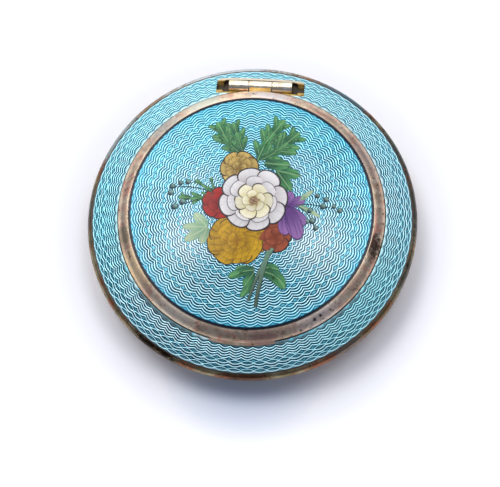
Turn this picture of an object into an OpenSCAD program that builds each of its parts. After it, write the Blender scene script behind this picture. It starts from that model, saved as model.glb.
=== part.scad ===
// Enamelled powder compact with a mirror in its hinged lid.
// Millimetres. The table is z = 0, the case's axis is Z, the hinge is at +Y and the thumb lip at -Y.

/* [Case] */
// Outer diameter over the rim band
case_d = 50; // [42:0.5:60]
// Height of the rim band's middle above the table
rim_z = 5.07; // [4.9:0.05:6]
// Width of the rim band, seen from above
rim_w = 0.8; // [0.6:0.05:0.9]
// Radius of the rim band's half-round face
rim_roll_r = 0.95; // [0.92:0.01:1.2]
// Distance from the rim band's inner edge in to the flat foot
foot_in = 9.2; // [7.5:0.1:11]
// Thickness of the case's sheet metal
sheet_t = 0.5; // [0.4:0.05:0.6]

/* [Shoulder] */
// Width of the shoulder from the rim band to the lid's skirt
shoulder_w = 4.15; // [3.9:0.05:5]
// Height from the shoulder's outer edge to its inner edge
shoulder_rise = 1.75; // [1.6:0.05:2.2]
// Radius of the shoulder's slight outward curve
shoulder_curve_r = 20; // [16:1:60]
// Thickness of the shoulder's enamel
shoulder_enamel_t = 0.4; // [0.3:0.02:0.5]

/* [Lid] */
// Width of the lid's plain metal border
border_w = 1.8; // [1.7:0.05:2.1]
// Height that the border climbs from the skirt to the enamel
border_rise = 1.16; // [1.05:0.01:1.3]
// Radius of the border's rounded section
border_curve_r = 2.6; // [2.4:0.1:4]
// Height of the enamelled dome over the border's inner edge
dome_rise = 1.0; // [0.7:0.05:2]
// Thickness of the lid's sheet metal
lid_sheet_t = 0.4; // [0.3:0.02:0.45]
// Thickness of the lid's enamel
lid_enamel_t = 0.35; // [0.25:0.01:0.4]
// Height of the skirt's straight wall
skirt_h = 0.7; // [0.5:0.05:0.8]
// Height of the skirt that shows above the shoulder's enamel
skirt_show = 0.25; // [0.2:0.01:0.4]
// Gap round the lid's skirt
skirt_side_gap = 0.15; // [0.1:0.01:0.25]
// Gap under the skirt when the lid is shut
seat_gap = 0.1; // [0.05:0.01:0.2]

/* [Collar and catch] */
// Wall thickness of the collar
collar_t = 0.4; // [0.3:0.02:0.5]
// Height of the collar
collar_h = 2.75; // [2.4:0.05:3.2]
// Gap between the collar and the skirt round it
collar_gap = 0.15; // [0.12:0.01:0.25]
// Least gap between the collar and the lid over it
collar_top_gap = 0.12; // [0.1:0.01:0.2]
// Length of the catch bump along the collar
nib_len = 2.4; // [1.5:0.1:4]
// Height of the catch bump
nib_h = 0.25; // [0.15:0.01:0.35]
// Distance from the collar's top edge down to the catch bump
nib_drop = 0.25; // [0.2:0.01:0.4]
// Gap left between the catch bump and the skirt
nib_gap = 0.05; // [0.03:0.01:0.08]

/* [Hinge] */
// Length of the lid's hinge tube, the middle one
knuckle_mid_len = 3.45; // [3:0.05:4]
// Length of each outer hinge tube
knuckle_len = 3.0; // [2.6:0.05:3.5]
// Outer radius of the hinge tubes
knuckle_r = 0.95; // [0.8:0.01:1.1]
// Gap between neighbouring tubes
knuckle_gap = 0.12; // [0.08:0.01:0.2]
// Radius of the hinge pin
pin_r = 0.45; // [0.35:0.01:0.55]
// Gap between the pin and the middle tube
pin_fit = 0.04; // [0.02:0.01:0.08]
// Gap between the pin and the outer tubes, which hold it
pin_hold = 0.005; // [0.002:0.001:0.008]
// Gap between the lid's skirt and the hinge tubes
knuckle_back_gap = 0.1; // [0.08:0.01:0.2]
// Depth of the tubes' tops below the skirt's top edge
knuckle_sink = 0.05; // [0.02:0.01:0.1]
// Gap between the outer tubes and the end walls of the trough that they lie in
trough_end_gap = 0.95; // [0.8:0.05:1.5]
// Thickness of the trough's end walls
trough_end_t = 1.0; // [0.8:0.05:1.2]
// Thickness of the trough's back wall
trough_back_t = 0.4; // [0.3:0.02:0.5]
// Thickness of the trough's front wall and floor
trough_t = 0.25; // [0.18:0.01:0.27]
// Radius of the trough's two back corners
trough_corner_r = 0.95; // [0.8:0.05:1.1]
// Gap between the hinge tubes and the trough
trough_gap = 0.25; // [0.2:0.01:0.27]
// Width of the saddles under the outer tubes
saddle_w = 1.0; // [0.6:0.05:1.4]
// Distance from the middle tube's ends to the bearer that carries it
bearer_short = 0.125; // [0.05:0.005:0.5]
// Height of the bearer
bearer_h = 0.55; // [0.4:0.05:0.6]

/* [Thumb lip] */
// Length of the thumb lip
lip_len = 9.6; // [6:0.1:14]
// Distance that the lip stands out from the skirt
lip_out = 0.45; // [0.3:0.05:0.8]
// Thickness of the lip's outer edge
lip_t = 0.15; // [0.1:0.01:0.2]
// Gap between the lip and the shoulder's enamel
lip_gap = 0.06; // [0.04:0.01:0.1]

/* [Powder] */
// Wall thickness of the powder well
well_t = 0.3; // [0.2:0.02:0.4]
// Length of well inside the collar
well_lap = 1.2; // [0.8:0.05:1.3]
// Gap between the well's floor and the base
well_gap = 0.05; // [0.02:0.01:0.1]
// Height of the powder pan
pan_h = 3.0; // [2.6:0.05:3.1]
// Wall thickness of the powder pan
pan_t = 0.25; // [0.2:0.01:0.3]
// Gap round the powder pan
pan_gap = 0.1; // [0.05:0.01:0.15]
// Depth of the powder's surface below the pan's edge
cake_drop = 0.3; // [0.1:0.05:0.5]
// Width of the bevel round the powder's surface
cake_bevel = 0.3; // [0.1:0.05:0.6]
// Width of the ring that holds the pan in
ring_w = 1.1; // [0.8:0.05:1.15]
// Thickness of the ring that holds the pan in
ring_t = 0.3; // [0.2:0.01:0.4]

/* [Puff] */
// Gap between the powder puff and the ring round it
puff_side_gap = 0.4; // [0.3:0.05:2]
// Gap between the puff and the powder
puff_gap = 0.05; // [0.03:0.01:0.1]
// Gap between the puff and the mirror over it
puff_top_gap = 0.47; // [0.4:0.01:1]
// Width of pad that shows round the satin cover
puff_show = 1.5; // [1:0.1:3]
// Thickness of the satin cover and of the ribbon
satin_t = 0.12; // [0.08:0.01:0.15]
// Width of the puff's ribbon
ribbon_w = 6; // [4:0.1:9]
// Distance from the ribbon's ends to the cover's edge
ribbon_short = 1; // [0.5:0.1:2]

/* [Mirror] */
// Thickness of the mirror's glass
mirror_t = 0.9; // [0.7:0.05:1]
// Width of the bevel round the glass
mirror_bevel = 0.25; // [0.1:0.05:0.4]
// Thickness of the card behind the glass
card_t = 0.3; // [0.2:0.02:0.35]
// Gap between the card and the lid over it
card_gap = 0.05; // [0.03:0.01:0.1]
// Width of the bezel's wall round the glass
bezel_w = 0.9; // [0.7:0.05:1.2]
// Width of glass that the bezel covers
bezel_lap = 0.7; // [0.5:0.05:1]
// Thickness of the bezel under the glass
bezel_t = 0.25; // [0.2:0.01:0.3]
// Gap between the glass and the bezel's wall
bezel_gap = 0.05; // [0.03:0.01:0.1]
// Gap between the bezel and the collar, where the lid turns through
bezel_side_gap = 0.65; // [0.6:0.01:0.8]

/* [Hidden] */

// One length by which cuts run past what they cut
overrun = 2;
// Gap that solder fills between the bezel's wall and the lid
solder_gap = 0.02;
// Number of flats that stand for a full circle: of turned pieces, of wide arcs and of small rounds
turned_fn = 180;
wide_fn = 1440;
small_fn = 72;

// Radii and heights of the case
case_r = case_d / 2;
rim_in_r = case_r - rim_w;
foot_r = rim_in_r - foot_in;
rim_half_h = sqrt(pow(rim_roll_r, 2) - pow(rim_roll_r - rim_w, 2));
rim_low_z = rim_z - rim_half_h;
shoulder_low_z = rim_z + rim_half_h;
shoulder_top_z = shoulder_low_z + shoulder_rise;
base_curve_r = (pow(rim_in_r - foot_r, 2) + pow(rim_low_z, 2)) / (2 * rim_low_z);

// Radii and heights of the lid
lid_r = rim_in_r - shoulder_w;
skirt_in_r = lid_r - lid_sheet_t;
dome_r = lid_r - border_w;
skirt_top_z = shoulder_top_z + skirt_show;
skirt_low_z = skirt_top_z - skirt_h;
border_top_z = skirt_top_z + border_rise;
dome_top_z = border_top_z + dome_rise;
dome_curve_r = (pow(dome_r, 2) + pow(dome_rise, 2)) / (2 * dome_rise);
dome_under_curve_r = dome_curve_r - lid_enamel_t - lid_sheet_t;

// The lid's opening: the skirt stands between the enamel's inner edge and the collar
enamel_in_r = lid_r + skirt_side_gap;
seat_z = skirt_low_z - seat_gap;
collar_out_r = skirt_in_r - collar_gap;
collar_in_r = collar_out_r - collar_t;

// Middle of a circle of radius r through p and q, on the side below a line from p to q
function arc_middle(p, q, r) =
    let (d = q - p, l = norm(d), n = [d[1], -d[0]] / l)
    (p + q) / 2 + n * sqrt(pow(r, 2) - pow(l / 2, 2));
// Height over z = 0 of a circle's upper half, at a distance x from the case's axis
function arc_height(middle, r, x) = middle[1] + sqrt(pow(r, 2) - pow(x - middle[0], 2));

shoulder_middle = arc_middle([enamel_in_r, shoulder_top_z], [rim_in_r, shoulder_low_z], shoulder_curve_r);
border_middle = arc_middle([dome_r, border_top_z], [lid_r, skirt_top_z], border_curve_r);
dome_middle = [0, dome_top_z - dome_curve_r];
collar_top_z = arc_height(border_middle, border_curve_r - lid_sheet_t, collar_out_r) - collar_top_gap;
collar_low_z = collar_top_z - collar_h;

// The hinge axis runs along X
axis_y = lid_r + knuckle_back_gap + knuckle_r;
axis_z = skirt_top_z - knuckle_sink - knuckle_r;
mid_half = knuckle_mid_len / 2;
outer_from = mid_half + knuckle_gap;
hinge_half = outer_from + knuckle_len;
bearer_len = knuckle_mid_len - 2 * bearer_short;
pocket_r = knuckle_r + trough_gap;
pocket_half = hinge_half + trough_end_gap;
trough_half = pocket_half + trough_end_t;
trough_front_y = axis_y - pocket_r - trough_t;
trough_back_y = axis_y + pocket_r + trough_back_t;
trough_low_z = axis_z - pocket_r - trough_t;

// The powder stands on the base
well_in_r = collar_in_r - well_t;
base_inside_z = base_curve_r - sqrt(pow(base_curve_r - sheet_t, 2) - pow(collar_in_r - foot_r, 2));
well_low_z = base_inside_z + well_gap;
pan_low_z = well_low_z + well_t;
pan_out_r = well_in_r - pan_gap;
pan_top_z = pan_low_z + pan_h;
cake_top_z = pan_top_z - cake_drop;

// The mirror hangs under the lid
bezel_out_r = collar_in_r - bezel_side_gap;
mirror_r = bezel_out_r - bezel_w - bezel_gap;
card_top_z = arc_height(dome_middle, dome_under_curve_r, mirror_r) - card_gap;
glass_top_z = card_top_z - card_t;
glass_low_z = glass_top_z - mirror_t;
bezel_top_z = arc_height(dome_middle, dome_under_curve_r, bezel_out_r) - solder_gap;

// The puff fills the space between the powder and the mirror
puff_r = well_in_r - ring_w - puff_side_gap;
puff_low_z = cake_top_z + puff_gap;
cover_low_z = glass_low_z - puff_top_gap - 2 * satin_t;
puff_h = cover_low_z - puff_low_z;
cover_r = puff_r - puff_show;

module turned() {
    rotate_extrude($fn = turned_fn) children();
}

// A washer's section: from radius a to radius b and from height low to height high
module band(a, b, low, high) {
    translate([a, low]) square([b - a, high - low]);
}

module disc_at(middle, r, fn) {
    translate(middle) circle(r = r, $fn = fn);
}

// Section of a sheet of thickness t that lies inside an arc
module arc_sheet(middle, r, t, fn) {
    difference() {
        disc_at(middle, r, fn);
        disc_at(middle, r - t, fn);
    }
}

// Space inside the base's outer surface, drawn in by a wall of thickness t
module base_space(t, top_z) {
    intersection() {
        band(0, rim_in_r - t, t, top_z);
        union() {
            band(0, foot_r, t, top_z);
            disc_at([foot_r, base_curve_r], base_curve_r - t, wide_fn);
        }
    }
}

module base_shell() {
    color([0.73, 0.62, 0.42]) turned() difference() {
        base_space(0, rim_z);
        base_space(sheet_t, rim_z + overrun);
    }
}

module rim_band() {
    color([0.53, 0.48, 0.38]) turned() intersection() {
        disc_at([case_r - rim_roll_r, rim_z], rim_roll_r, small_fn);
        band(rim_in_r, case_r, rim_low_z, shoulder_low_z);
    }
}

// Block with square corners at the front, under the lid, and round ones at the back
module block(half, front_y, back_y, corner_r, low_z, top_z) {
    translate([0, 0, low_z]) linear_extrude(top_z - low_z) {
        translate([-half, front_y]) square([2 * half, back_y - corner_r - front_y]);
        translate([corner_r - half, front_y]) square([2 * (half - corner_r), back_y - front_y]);
        for (side = [-1, 1]) disc_at([side * (half - corner_r), back_y - corner_r], corner_r, small_fn);
    }
}

// The trough's outside, and the pocket in it
module trough_outside(top_z) {
    block(trough_half, trough_front_y, trough_back_y, trough_corner_r, trough_low_z, top_z);
}

module trough_pocket() {
    block(pocket_half, axis_y - pocket_r, axis_y + pocket_r, trough_corner_r - trough_back_t,
        axis_z - pocket_r, shoulder_top_z + overrun);
}

// Section of everything under the shoulder's finished top
module under_shoulder() {
    band(0, enamel_in_r, rim_z - overrun, seat_z);
    intersection() {
        disc_at(shoulder_middle, shoulder_curve_r, wide_fn);
        band(enamel_in_r, rim_in_r, rim_z - overrun, shoulder_top_z);
    }
}

module shoulder_ring() {
    metal_r = shoulder_curve_r - shoulder_enamel_t;
    color([0.66, 0.58, 0.46]) difference() {
        turned() {
            intersection() {
                arc_sheet(shoulder_middle, metal_r, sheet_t, wide_fn);
                band(enamel_in_r, rim_in_r, rim_z, shoulder_top_z);
            }
            intersection() {
                disc_at(shoulder_middle, metal_r, wide_fn);
                band(rim_in_r - sheet_t, rim_in_r, rim_z, shoulder_low_z);
            }
            band(collar_out_r, enamel_in_r + sheet_t, seat_z - sheet_t, seat_z);
        }
        trough_outside(shoulder_top_z + overrun);
    }
}

module shoulder_enamel() {
    color([0.36, 0.74, 0.88]) difference() {
        turned() intersection() {
            arc_sheet(shoulder_middle, shoulder_curve_r, shoulder_enamel_t, wide_fn);
            band(enamel_in_r, rim_in_r, rim_z, shoulder_top_z);
        }
        trough_outside(shoulder_top_z + overrun);
    }
}

module opening_collar() {
    color([0.78, 0.68, 0.48]) turned() band(collar_in_r, collar_out_r, collar_low_z, collar_top_z);
}

// Part of a turned ring, len long and centred on the front of the compact
module front_sector(r, len) {
    half_angle = asin(len / 2 / r);
    rotate_extrude(angle = 2 * half_angle, start = 270 - half_angle, $fn = turned_fn) children();
}

module catch_nib() {
    nib_top_z = collar_top_z - nib_drop;
    color([0.78, 0.68, 0.48]) front_sector(collar_out_r, nib_len)
        band(collar_out_r, skirt_in_r - nib_gap, nib_top_z - nib_h, nib_top_z);
}

// Cylinder of radius r on the hinge axis, from x = a to x = b
module on_axis(r, a, b) {
    translate([a, axis_y, axis_z]) rotate([0, 90, 0]) cylinder(r = r, h = b - a, $fn = small_fn);
}

// Saddle that fills the trough under one outer tube
module saddle(a, b) {
    saddle_low_z = trough_low_z + trough_t / 2;
    saddle_h = axis_z - knuckle_r / 2 - saddle_low_z;
    translate([a, axis_y - saddle_w / 2, saddle_low_z]) cube([b - a, saddle_w, saddle_h]);
}

module hinge_trough() {
    color([0.80, 0.66, 0.38]) difference() {
        union() {
            difference() {
                intersection() {
                    trough_outside(shoulder_top_z);
                    turned() under_shoulder();
                }
                trough_pocket();
            }
            saddle(outer_from, hinge_half);
            saddle(-hinge_half, -outer_from);
        }
        on_axis(knuckle_r, -hinge_half - overrun, hinge_half + overrun);
    }
}

module knuckle(a, b, bore_r) {
    color([0.86, 0.74, 0.48]) difference() {
        on_axis(knuckle_r, a, b);
        on_axis(bore_r, a - overrun, b + overrun);
    }
}

module hinge_knuckle_left() {
    knuckle(-hinge_half, -outer_from, pin_r + pin_hold);
}

module hinge_knuckle_right() {
    knuckle(outer_from, hinge_half, pin_r + pin_hold);
}

module hinge_knuckle_lid() {
    knuckle(-mid_half, mid_half, pin_r + pin_fit);
}

module hinge_pin() {
    color([0.62, 0.60, 0.56]) on_axis(pin_r, -hinge_half, hinge_half);
}

// The bearer fills the corner between the skirt's back and the middle tube
module hinge_bearer() {
    color([0.80, 0.66, 0.38]) difference() {
        translate([-bearer_len / 2, skirt_in_r, skirt_low_z])
            cube([bearer_len, axis_y - skirt_in_r, bearer_h]);
        on_axis(knuckle_r, -hinge_half, hinge_half);
        translate([0, 0, skirt_low_z - overrun])
            cylinder(r = lid_r, h = bearer_h + 2 * overrun, $fn = turned_fn);
    }
}

module powder_well() {
    color([0.80, 0.71, 0.52]) turned() {
        band(well_in_r, collar_in_r, well_low_z, collar_low_z + well_lap);
        band(0, collar_in_r, well_low_z, pan_low_z);
    }
}

module powder_pan() {
    color([0.76, 0.76, 0.74]) turned() {
        band(pan_out_r - pan_t, pan_out_r, pan_low_z, pan_top_z);
        band(0, pan_out_r, pan_low_z, pan_low_z + pan_t);
    }
}

module powder_cake() {
    cake_r = pan_out_r - pan_t;
    cake_low_z = pan_low_z + pan_t;
    color([0.90, 0.74, 0.62]) turned() polygon([
        [0, cake_low_z],
        [cake_r, cake_low_z],
        [cake_r, cake_top_z - cake_bevel],
        [cake_r - cake_bevel, cake_top_z],
        [0, cake_top_z]
    ]);
}

module pan_ring() {
    color([0.80, 0.71, 0.52]) turned() band(well_in_r - ring_w, well_in_r, pan_top_z, pan_top_z + ring_t);
}

// The pad's edge is a half round
module puff_pad() {
    edge_r = puff_h / 2;
    edge_middle = puff_r - edge_r;
    color([0.93, 0.86, 0.80]) turned() {
        band(0, edge_middle, puff_low_z, cover_low_z);
        intersection() {
            disc_at([edge_middle, puff_low_z + edge_r], edge_r, small_fn);
            band(edge_middle - edge_r / 2, puff_r, puff_low_z, cover_low_z);
        }
    }
}

module puff_cover() {
    color([0.90, 0.66, 0.66]) turned() band(0, cover_r, cover_low_z, cover_low_z + satin_t);
}

module puff_ribbon() {
    ribbon_len = 2 * (cover_r - ribbon_short);
    color([0.86, 0.58, 0.60]) translate([-ribbon_len / 2, -ribbon_w / 2, cover_low_z + satin_t])
        cube([ribbon_len, ribbon_w, satin_t]);
}

// One stamping: dome under the enamel, step round its edge, rounded border and straight skirt
module lid_shell() {
    step_r = dome_r + lid_sheet_t;
    step_low_z = arc_height(dome_middle, dome_under_curve_r, step_r);
    color([0.70, 0.62, 0.54]) turned() {
        intersection() {
            arc_sheet(dome_middle, dome_curve_r - lid_enamel_t, lid_sheet_t, wide_fn);
            band(0, step_r, step_low_z, dome_top_z);
        }
        intersection() {
            disc_at(border_middle, border_curve_r, turned_fn);
            band(dome_r, step_r, step_low_z, border_top_z);
        }
        intersection() {
            arc_sheet(border_middle, border_curve_r, lid_sheet_t, turned_fn);
            band(dome_r, lid_r, skirt_low_z, border_top_z);
        }
        band(skirt_in_r, lid_r, skirt_low_z, skirt_top_z);
    }
}

module lid_enamel() {
    color([0.36, 0.74, 0.88]) turned() intersection() {
        arc_sheet(dome_middle, dome_curve_r, lid_enamel_t, wide_fn);
        band(0, dome_r, border_top_z - lid_enamel_t - overrun, dome_top_z);
    }
}

// The lip follows the shoulder's slope, and thins outwards
module thumb_lip() {
    lip_r = lid_r + lip_out;
    lip_low_z = arc_height(shoulder_middle, shoulder_curve_r, lip_r) + lip_gap;
    color([0.60, 0.48, 0.40]) front_sector(lid_r, lip_len) polygon([
        [lid_r, arc_height(shoulder_middle, shoulder_curve_r, lid_r) + lip_gap],
        [lip_r, lip_low_z],
        [lip_r, lip_low_z + lip_t],
        [lid_r, skirt_top_z]
    ]);
}

module mirror_glass() {
    color([0.82, 0.87, 0.88]) turned() polygon([
        [0, glass_low_z],
        [mirror_r - mirror_bevel, glass_low_z],
        [mirror_r, glass_low_z + mirror_bevel],
        [mirror_r, glass_top_z],
        [0, glass_top_z]
    ]);
}

module mirror_backing() {
    color([0.55, 0.47, 0.38]) turned() band(0, mirror_r, glass_top_z, card_top_z);
}

module mirror_bezel() {
    wall_in_r = bezel_out_r - bezel_w;
    color([0.82, 0.72, 0.50]) turned() {
        band(wall_in_r, bezel_out_r, glass_low_z - bezel_t, bezel_top_z);
        band(mirror_r - bezel_lap, bezel_out_r, glass_low_z - bezel_t, glass_low_z);
    }
}

base_shell();
rim_band();
shoulder_ring();
shoulder_enamel();
opening_collar();
catch_nib();
hinge_trough();
hinge_knuckle_left();
hinge_knuckle_right();
hinge_pin();
powder_well();
powder_pan();
powder_cake();
pan_ring();
puff_pad();
puff_cover();
puff_ribbon();
lid_shell();
lid_enamel();
thumb_lip();
hinge_knuckle_lid();
hinge_bearer();
mirror_glass();
mirror_backing();
mirror_bezel();
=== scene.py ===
# %% [markdown]
# An enamelled powder compact
#
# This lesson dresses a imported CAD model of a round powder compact: a gilt metal case, blue enamel over
# engine-turned silver, a painted posy, and a mirror, powder and puff inside. The CAD solids fix every size
# and place. Blender only gives them their finish, and adds the soft and painted pieces.

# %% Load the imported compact
import math
import random

import bpy
from mathutils import Matrix, Vector
from mathutils.bvhtree import BVHTree


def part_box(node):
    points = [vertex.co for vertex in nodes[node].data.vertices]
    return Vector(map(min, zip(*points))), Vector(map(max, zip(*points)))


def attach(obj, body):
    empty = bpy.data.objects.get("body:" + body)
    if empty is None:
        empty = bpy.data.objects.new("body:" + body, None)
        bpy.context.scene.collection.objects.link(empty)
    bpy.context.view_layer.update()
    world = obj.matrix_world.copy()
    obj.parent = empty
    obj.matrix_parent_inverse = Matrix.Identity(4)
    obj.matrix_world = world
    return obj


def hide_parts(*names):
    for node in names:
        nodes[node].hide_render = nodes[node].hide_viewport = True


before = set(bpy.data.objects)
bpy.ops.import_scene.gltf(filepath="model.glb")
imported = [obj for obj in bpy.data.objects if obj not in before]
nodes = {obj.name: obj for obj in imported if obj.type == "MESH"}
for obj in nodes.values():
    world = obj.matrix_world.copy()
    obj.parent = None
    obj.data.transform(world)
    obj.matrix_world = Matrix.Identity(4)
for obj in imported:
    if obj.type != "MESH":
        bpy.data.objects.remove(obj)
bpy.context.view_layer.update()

MM = 0.001

# %% [markdown]
# A few helpers serve every material below. Colours are written as sRGB hex values, as a paint chart gives
# them, and one function turns them to the linear values that Blender's shaders expect. One function adds any
# node with its settings and its inputs. Coordinates in millimetres come from the object's own space. Every
# piece has its origin at the middle of the compact's foot, so a pattern sits in the same place on all of
# them.

# %% Helpers for materials
def linear(hex_colour):
    """An sRGB hex value such as "#B09A8A" as a linear colour with alpha."""
    shares = [int(hex_colour[i:i + 2], 16) / 255 for i in (1, 3, 5)]
    return tuple(c / 12.92 if c <= 0.04045 else ((c + 0.055) / 1.055) ** 2.4 for c in shares) + (1.0,)


def add(tree, kind, inputs=(), **settings):
    """Adds a node, makes its settings, and fills its inputs or links them to other nodes."""
    node = tree.nodes.new("ShaderNode" + kind)
    for name, value in settings.items():
        setattr(node, name, value)
    pairs = inputs.items() if isinstance(inputs, dict) else enumerate(inputs)
    for key, value in pairs:
        if isinstance(value, bpy.types.Node):
            value = next(s for s in value.outputs if s.enabled)
        if isinstance(value, bpy.types.NodeSocket):
            tree.links.new(value, node.inputs[key])
        else:
            node.inputs[key].default_value = value
    return node


def new_material(name):
    """An empty node material and its tree."""
    material = bpy.data.materials.new(name)
    material.use_nodes = True
    material.node_tree.nodes.clear()
    return material, material.node_tree


def place_mm(tree):
    """Position on the piece, in millimetres from the middle of the foot."""
    here = add(tree, "TexCoord").outputs["Object"]
    return add(tree, "VectorMath", {0: here, "Scale": 1 / MM}, operation="SCALE")


def polar_mm(tree, place):
    """Distance from the compact's axis in millimetres, and the angle round it in radians."""
    split = add(tree, "SeparateXYZ", [place])
    flat = add(tree, "CombineXYZ", {"X": split.outputs["X"], "Y": split.outputs["Y"]})
    radius = add(tree, "VectorMath", [flat], operation="LENGTH").outputs["Value"]
    angle = add(tree, "Math", [split.outputs["Y"], split.outputs["X"]], operation="ARCTAN2")
    return radius, angle


def surface(tree, **inputs):
    """Ends a material with a Principled shader. Spaces in socket names are written as underscores."""
    shader = add(tree, "BsdfPrincipled", {name.replace("_", " "): value for name, value in inputs.items()})
    add(tree, "OutputMaterial", {"Surface": shader})


def dress(material, *names):
    """Gives a CAD node, or several, one material."""
    for name in names:
        slots = nodes[name].data.materials
        slots.clear()
        slots.append(material)
    print(material.name, "on", ", ".join(names))


# %% [markdown]
# The blue parts are basse-taille enamel: clear blue glass fused over silver that a rose engine has cut with
# fine waves. Light goes through the glass, flashes off the cuts and comes back blue, so the enamel is never
# one flat colour. Modelling each cut would take millions of faces, and the real outer surface is smooth
# glass anyway. So the cuts are a pattern of distances, worked out from the radius and the angle, and the
# glass is a clear coat with a smooth face over that rough ground. Pale patches in it are partly painted
# highlights and partly glass ground thinner, where more of the silver shows, and a painted shade darkens
# it towards the front.

# %% Engine-turned waves as a distance to the nearest cut
# A wave is a row of arches, as the absolute value of a cosine, whose mean is taken off. The shallower cut
# never comes as near to zero distance as the others do.
ARCH_MEAN = 1.27
SHALLOWER = 0.07


def nearest_cut(tree, radius, angle, waves, pitch, group, crossing, swing):
    """Distance in mm to the nearest cut, and the shift of the wave.

    In each ring of cuts that is 2 * group mm wide, counted from the radius crossing, the middle cut is half
    a wave out of step with the others, and shallower by a share of the pitch."""
    turn = add(tree, "Math", [angle, waves / 2], operation="MULTIPLY")
    arch = add(tree, "Math", [add(tree, "Math", [turn], operation="COSINE")], operation="ABSOLUTE")
    wave = add(tree, "Math", [arch, 2.0, -ARCH_MEAN], operation="MULTIPLY_ADD")
    shift = add(tree, "Math", [wave, swing], operation="MULTIPLY")
    below = add(tree, "Math", [group, -1.0], operation="MULTIPLY")
    outward = add(tree, "Math", [radius, crossing], operation="SUBTRACT")
    in_step = add(tree, "Math", [outward, shift], operation="SUBTRACT")
    near_step = add(tree, "Math", [in_step, pitch / 2], operation="PINGPONG")
    in_group = add(tree, "Math", [in_step, group, below], operation="WRAP")
    from_gap = add(tree, "Math", [in_group], operation="ABSOLUTE")
    past_gap = add(tree, "Math", [pitch, from_gap], operation="SUBTRACT")
    stepped = add(tree, "Math", [near_step, past_gap], operation="MAXIMUM")
    out_of_step = add(tree, "Math", [outward, shift], operation="ADD")
    crossed = add(tree, "Math", [out_of_step, group, below], operation="WRAP")
    crossed = add(tree, "Math", [crossed], operation="ABSOLUTE")
    crossed = add(tree, "Math", [crossed, SHALLOWER * pitch], operation="ADD")
    return add(tree, "Math", [stepped, crossed], operation="MINIMUM"), shift


# %% Blue enamel over engine-turned silver
# In mm along Y: a painted shade on the enamel grows from the back value to the front value.
BACK_Y, FRONT_Y = 14.0, -12.0
DENSE_SWING = 0.68
DENSE_LINES = 3
DARK_EDGE = 0.05
EDGE_SHARE = 0.45
FENCE_FULL, FENCE_END = 0.07, 0.16
CUT_RELIEF_MM = 0.035
GROUND_Z = 10.0


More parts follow.
